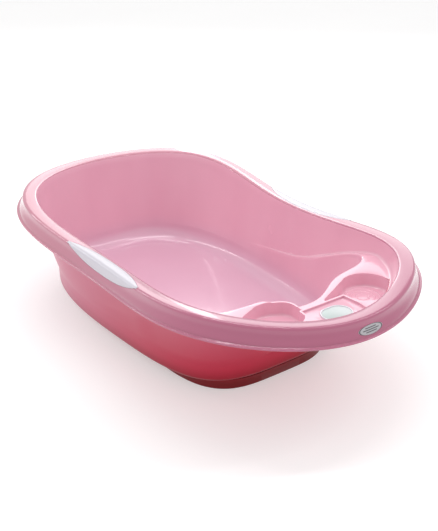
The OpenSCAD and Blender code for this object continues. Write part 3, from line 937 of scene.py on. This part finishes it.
def silver_label():
    finish = Finish("silver_label", IOR=1.45)
    where, (x, y, z) = finish.place()
    middle_z_ = (label_low[2] + label_high[2]) / 2 * mm
    across_ = y / (label_w / 2 * mm)
    up = (z - middle_z_) / (label_half * mm)
    round_ = (across_ ** 2 + up ** 2) ** 0.5
    border = round_.clamped(0.84, 0.87) * (1 - round_.clamped(0.93, 0.96))
    bars = 0
    for height, reach in ((0.38, 0.42), (0.0, 0.62), (-0.38, 0.42)):
        off = (up - height).math("ABSOLUTE", up - height)
        ends_at = across_.math("ABSOLUTE", across_).clamped(reach, reach + 0.03)
        bars = (1 - off.clamped(0.07, 0.11)) * (1 - ends_at) + bars
    mark = (border + bars).clamped(0, 1)
    finish.feed(Base_Color=finish.blend(mark, rgb(186, 184, 188), rgb(92, 88, 94)))
    finish.feed(Roughness=finish.noise(where, 200.0) * 0.2 + 0.3)
    finish.feed(Metallic=0.35 * (1 - mark))
    return finish.material


def black_rubber():
    finish = Finish("black_rubber", IOR=1.5)
    where, _ = finish.place()
    cloud = finish.noise(where, 80.0)
    finish.feed(Base_Color=finish.blend(cloud, rgb(40, 40, 42), rgb(52, 52, 54)))
    finish.feed(Roughness=cloud * 0.2 + 0.55)
    finish.feed(Normal=finish.bump(finish.noise(where, 1500.0), 0.3, 0.0003))
    return finish.material


def wear(piece, material):
    piece.data.materials.clear()
    piece.data.materials.append(material)


grip_white = white_plastic("white_grip", rgb(208, 204, 213), 1600.0, 0.15, 0.2)
for grip in grips.values():
    wear(grip, grip_white)
wear(badge, white_plastic("white_badge", rgb(226, 224, 230), 900.0, 0.05))
wear(film, badge_film())
wear(label, silver_label())
wear(plug, white_plastic("white_plug", rgb(238, 240, 240), 1200.0, 0.12))
wear(washer, black_rubber())
print(len(bpy.data.materials), "materials")

# %% [markdown]
# ## Fit the pieces to the frame
#
# Faces that meet at more than about a third of a right angle keep a crisp edge and all others are
# shaded smooth. Each piece then rides on its body, and the plain node it stands for is hidden.

# %% Smooth, ride and replace
pieces = [(shell, "tub", "tub_shell", "shell"), (grips["left_grip"], "tub", "left_grip", "grips"),
          (grips["right_grip"], "tub", "right_grip", "grips"), (badge, "tub", "deck_badge", "badge"),
          (film, "tub", "badge_film", "film"), (label, "tub", "rim_label", "label"),
          (plug, "plug", "drain_plug", "plug"), (washer, "plug", "plug_seal", "seal")]
for piece, body, node, slot in pieces:
    only(piece)
    bpy.ops.object.shade_smooth_by_angle(angle=math.radians(32))
    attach(piece, body)
    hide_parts(node)
    print(piece.name, len(piece.data.polygons), "faces, rides on", body)

# %% [markdown]
# ## Stage, light and camera
#
# A wide pale floor and a white world make a plain studio. The floor glows a little, which keeps the
# shadow light. One broad soft box hangs behind and above the far side, where it whitens the rim, the
# deck and the floor. Four narrow strips make the thin bright lines that a gloss shows.

# %% Floor
bpy.ops.object.select_all(action="DESELECT")
below_base = 0.3 * mm
bpy.ops.mesh.primitive_plane_add(size=14, location=(0, 0, -below_base))
floor = bpy.context.object
floor.name = "studio_floor"
floor_finish = Finish("studio_white", Roughness=0.7, IOR=1.2, Emission_Strength=0.43)
floor_finish.shader.inputs["Emission Color"].default_value = (1, 1, 1, 1)
floor_where, _ = floor_finish.place()
floor_finish.feed(Base_Color=floor_finish.blend(floor_finish.noise(floor_where, 3.0), rgb(208, 207, 207),
                                                rgb(212, 211, 211)))
wear(floor, floor_finish.material)
print("floor laid")

# %% Lights


def soft_box(name, at, aim, size, power, colour=(1, 1, 1)):
    bpy.ops.object.light_add(type="AREA", location=at)
    lamp = bpy.context.object
    lamp.name = name
    lamp.data.shape = "RECTANGLE"
    lamp.data.size, lamp.data.size_y = size
    lamp.data.energy = power
    lamp.data.color = colour
    lamp.rotation_euler = (Vector(aim) - Vector(at)).to_track_quat("-Z", "Y").to_euler()
    return lamp


world = bpy.data.worlds.new("studio")
bpy.context.scene.world = world
world.use_nodes = True
world.node_tree.nodes["Background"].inputs["Color"].default_value = (1, 1, 1, 1)
world.node_tree.nodes["Background"].inputs["Strength"].default_value = 0.8
soft_box("far_box", (-1.7, 1.6, 1.4), (0, 0, 0.15), (2.4, 1.0), 11)
soft_box("top_box", (-0.2, 0.1, 2.2), (0, 0, 0), (1.8, 0.16), 13)
soft_box("far_strip", (-1.75, 1.25, 1.25), (0, 0, 0.05), (0.22, 1.3), 2.5)
soft_box("head_strip", (-1.5, -1.0, 1.5), (0, 0, 0.15), (0.12, 1.6), 6)
soft_box("foot_strip", (0.9, 1.4, 1.9), (0.3, 0, 0.15), (0.15, 1.4), 6)
print("one soft box and four narrow lights")

# %% Camera
camera_at = Vector((1.1214, -0.7866, 0.7779))
view_dir = Vector((-0.72688, 0.53081, -0.43577))
bpy.ops.object.camera_add(location=camera_at, rotation=view_dir.to_track_quat("-Z", "Y").to_euler())
camera = bpy.context.object
camera.data.lens = 56.89
camera.data.sensor_width = 36
bpy.context.scene.camera = camera
bpy.context.scene.view_settings.view_transform = "Standard"
print("camera", [round(c, 2) for c in camera_at], "lens", camera.data.lens)
